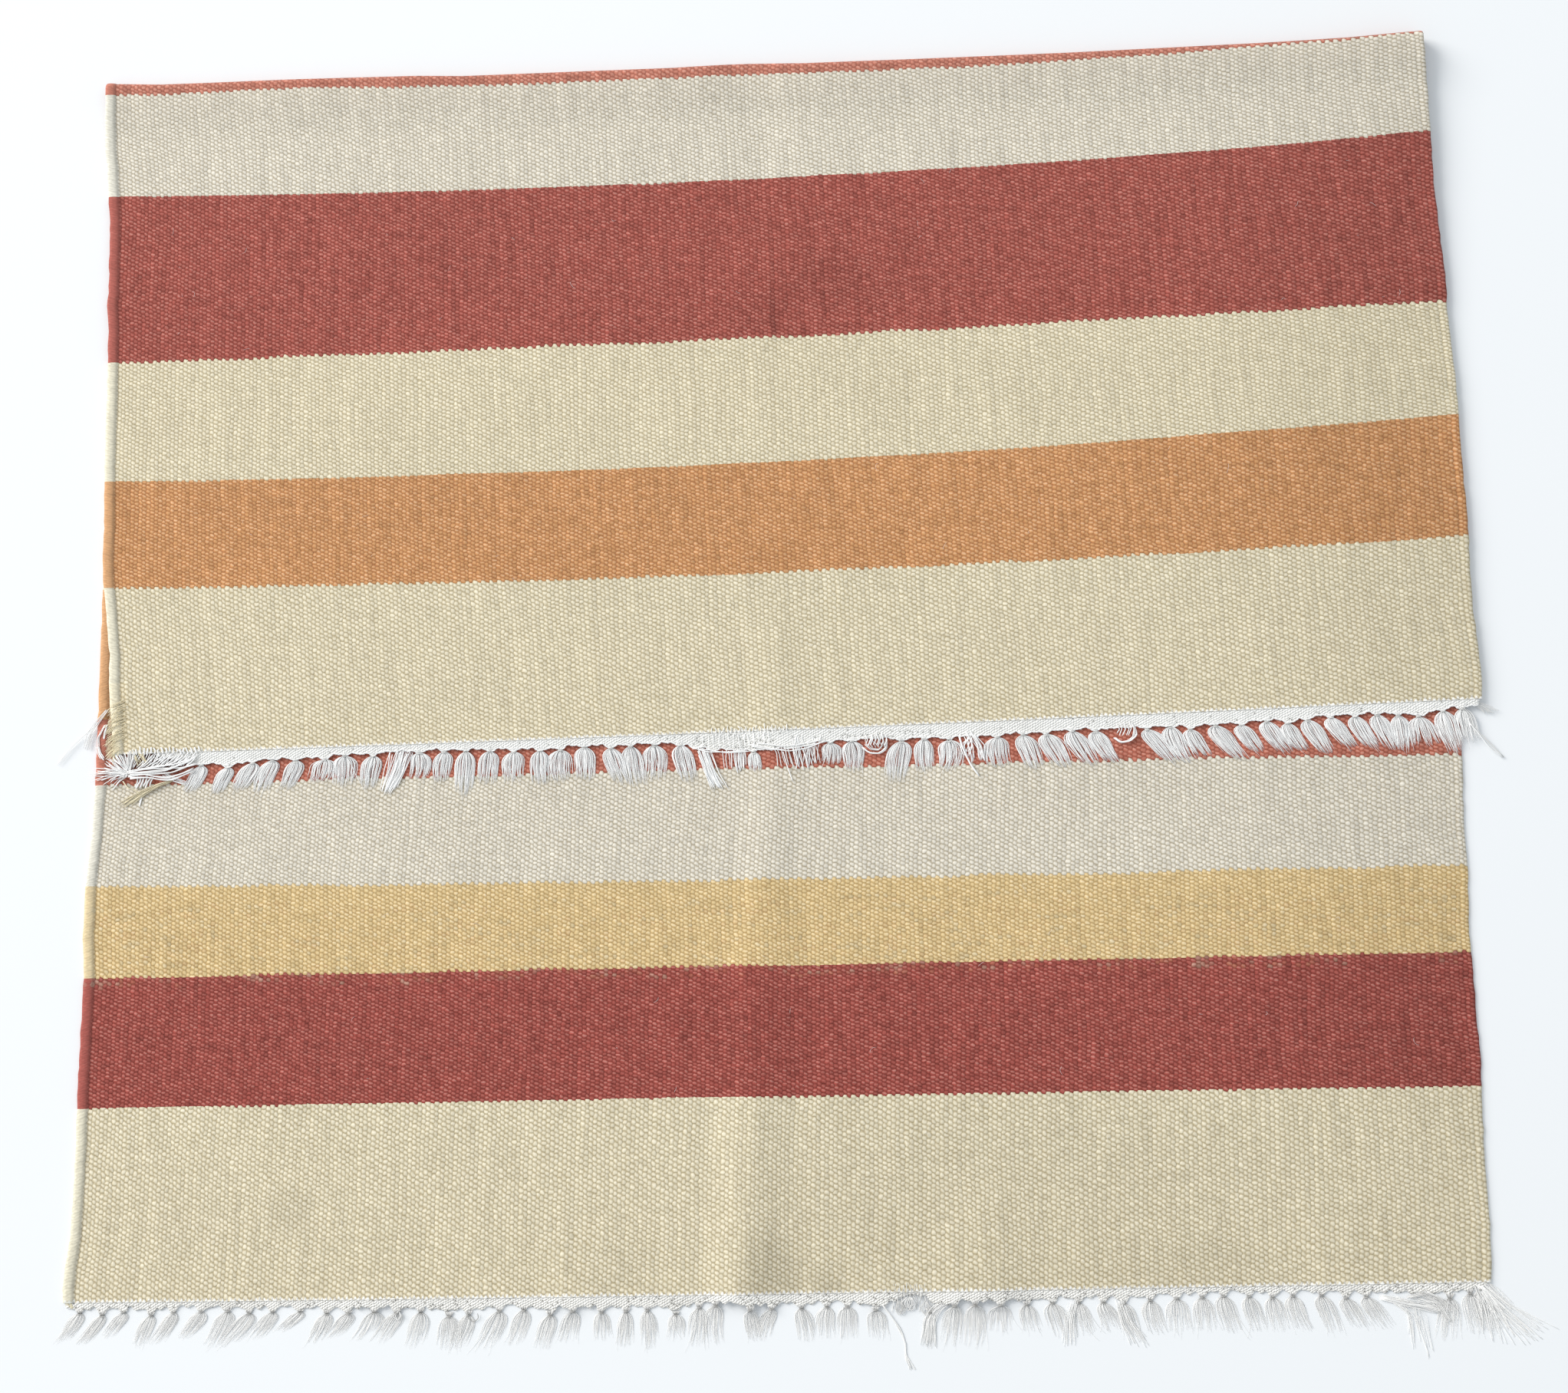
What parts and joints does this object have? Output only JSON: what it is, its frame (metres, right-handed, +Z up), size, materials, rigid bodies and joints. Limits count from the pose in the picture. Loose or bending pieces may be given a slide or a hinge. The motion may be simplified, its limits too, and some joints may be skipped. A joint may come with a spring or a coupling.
{
  "type": "kilim rug",
  "caption": "Striped flat-woven wool rug with cotton headings and knotted fringes, folded once across its width and lying flat.",
  "frame": {"origin": "on the surface the rug lies on, under the middle of its box seen from above", "axes": "+Z up, +X across the rug along its stripes, +Y towards the fold"},
  "size_m": [1.4478, 1.3718, 0.014],
  "materials": {
    "wool_weft": "matt woven wool in coral, beige, maroon, cream, orange and yellow stripes",
    "cotton_heading": "matt off-white cotton plain weave",
    "cotton_warp_ends": "matt off-white loose cotton strands"
  },
  "bodies": {
    "root": {"kilim_cloth": "wool_weft", "heading_near": "cotton_heading", "heading_far": "cotton_heading", "fringe_near": "cotton_warp_ends", "fringe_far": "cotton_warp_ends"}
  },
  "joints": []
}
